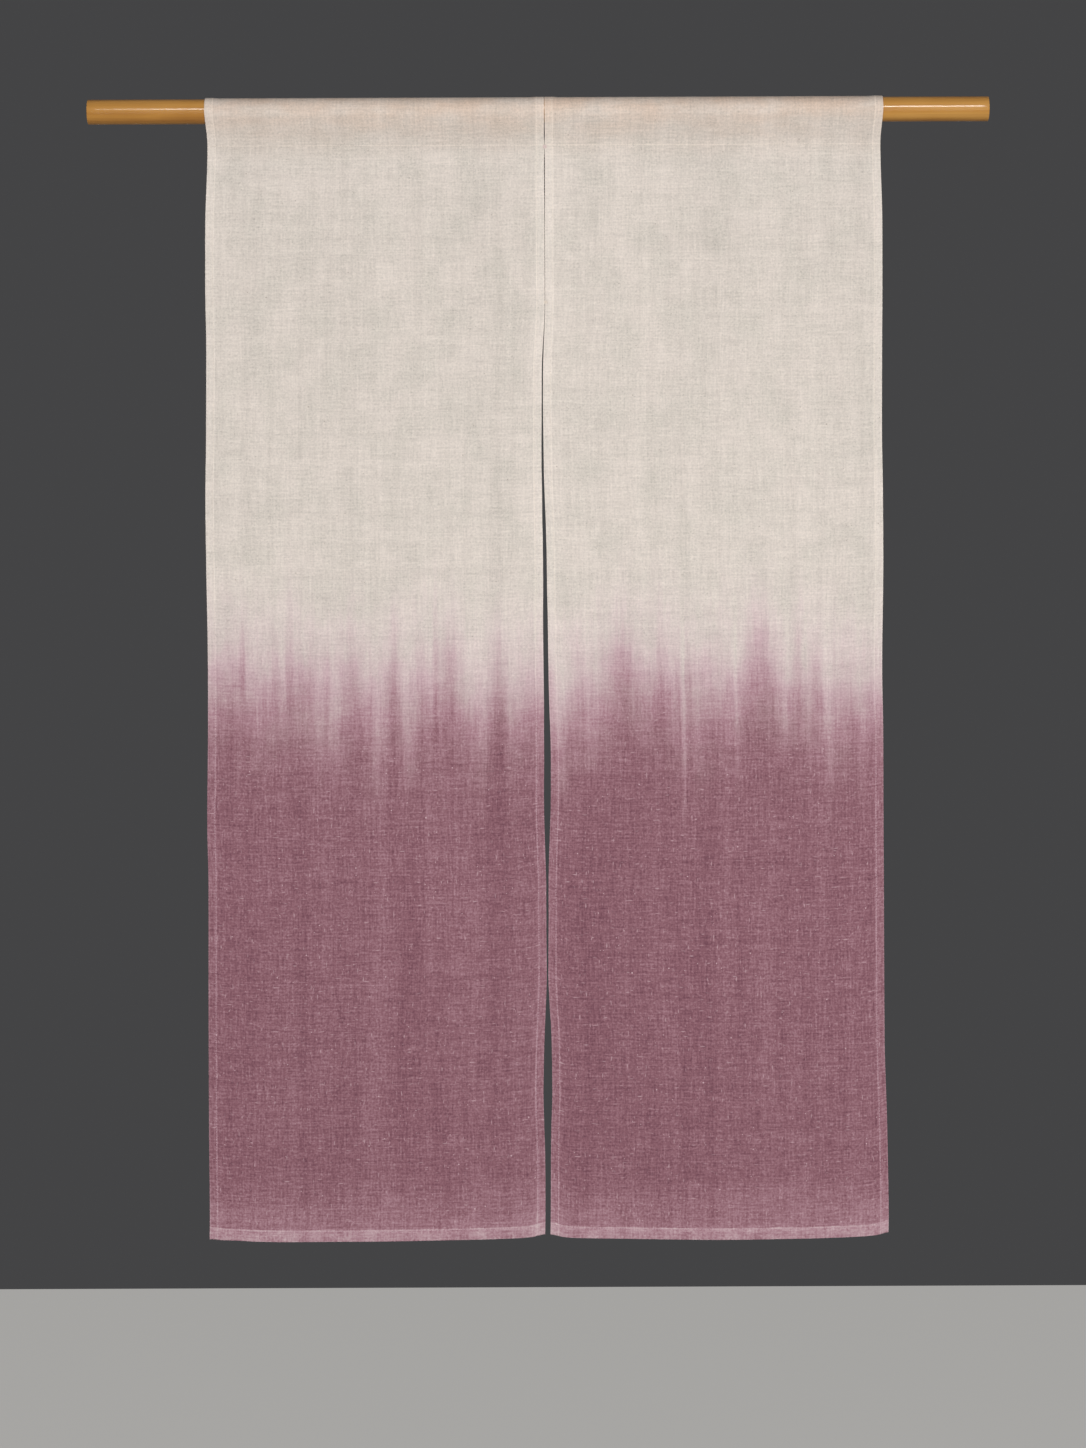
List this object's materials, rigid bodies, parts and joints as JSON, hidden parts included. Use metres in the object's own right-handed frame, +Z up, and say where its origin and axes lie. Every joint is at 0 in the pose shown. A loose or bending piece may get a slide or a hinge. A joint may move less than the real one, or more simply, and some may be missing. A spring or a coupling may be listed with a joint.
{
  "type": "noren curtain on a rod",
  "caption": "Slit doorway curtain of hemmed linen, dip-dyed from natural to mauve, hung by the sewn pocket along its top from a plain round wooden rod.",
  "frame": {"origin": "centre of the rod's left end face, seen from the front", "axes": "+X along the rod to its right end, +Y from the curtain's face to its back, +Z up"},
  "size_m": [1.17, 0.035, 1.4877],
  "materials": {
    "rod": "clear gloss varnish over straight-grained golden brown wood",
    "panel_left": "slubby plain-weave linen, natural above and dip-dyed mauve below with a streaked front between them",
    "panel_right": "slubby plain-weave linen, natural above and dip-dyed mauve below with a streaked front between them"
  },
  "bodies": {
    "root": {"rod": "rod", "panel_left": "panel_left", "panel_right": "panel_right"}
  },
  "joints": []
}
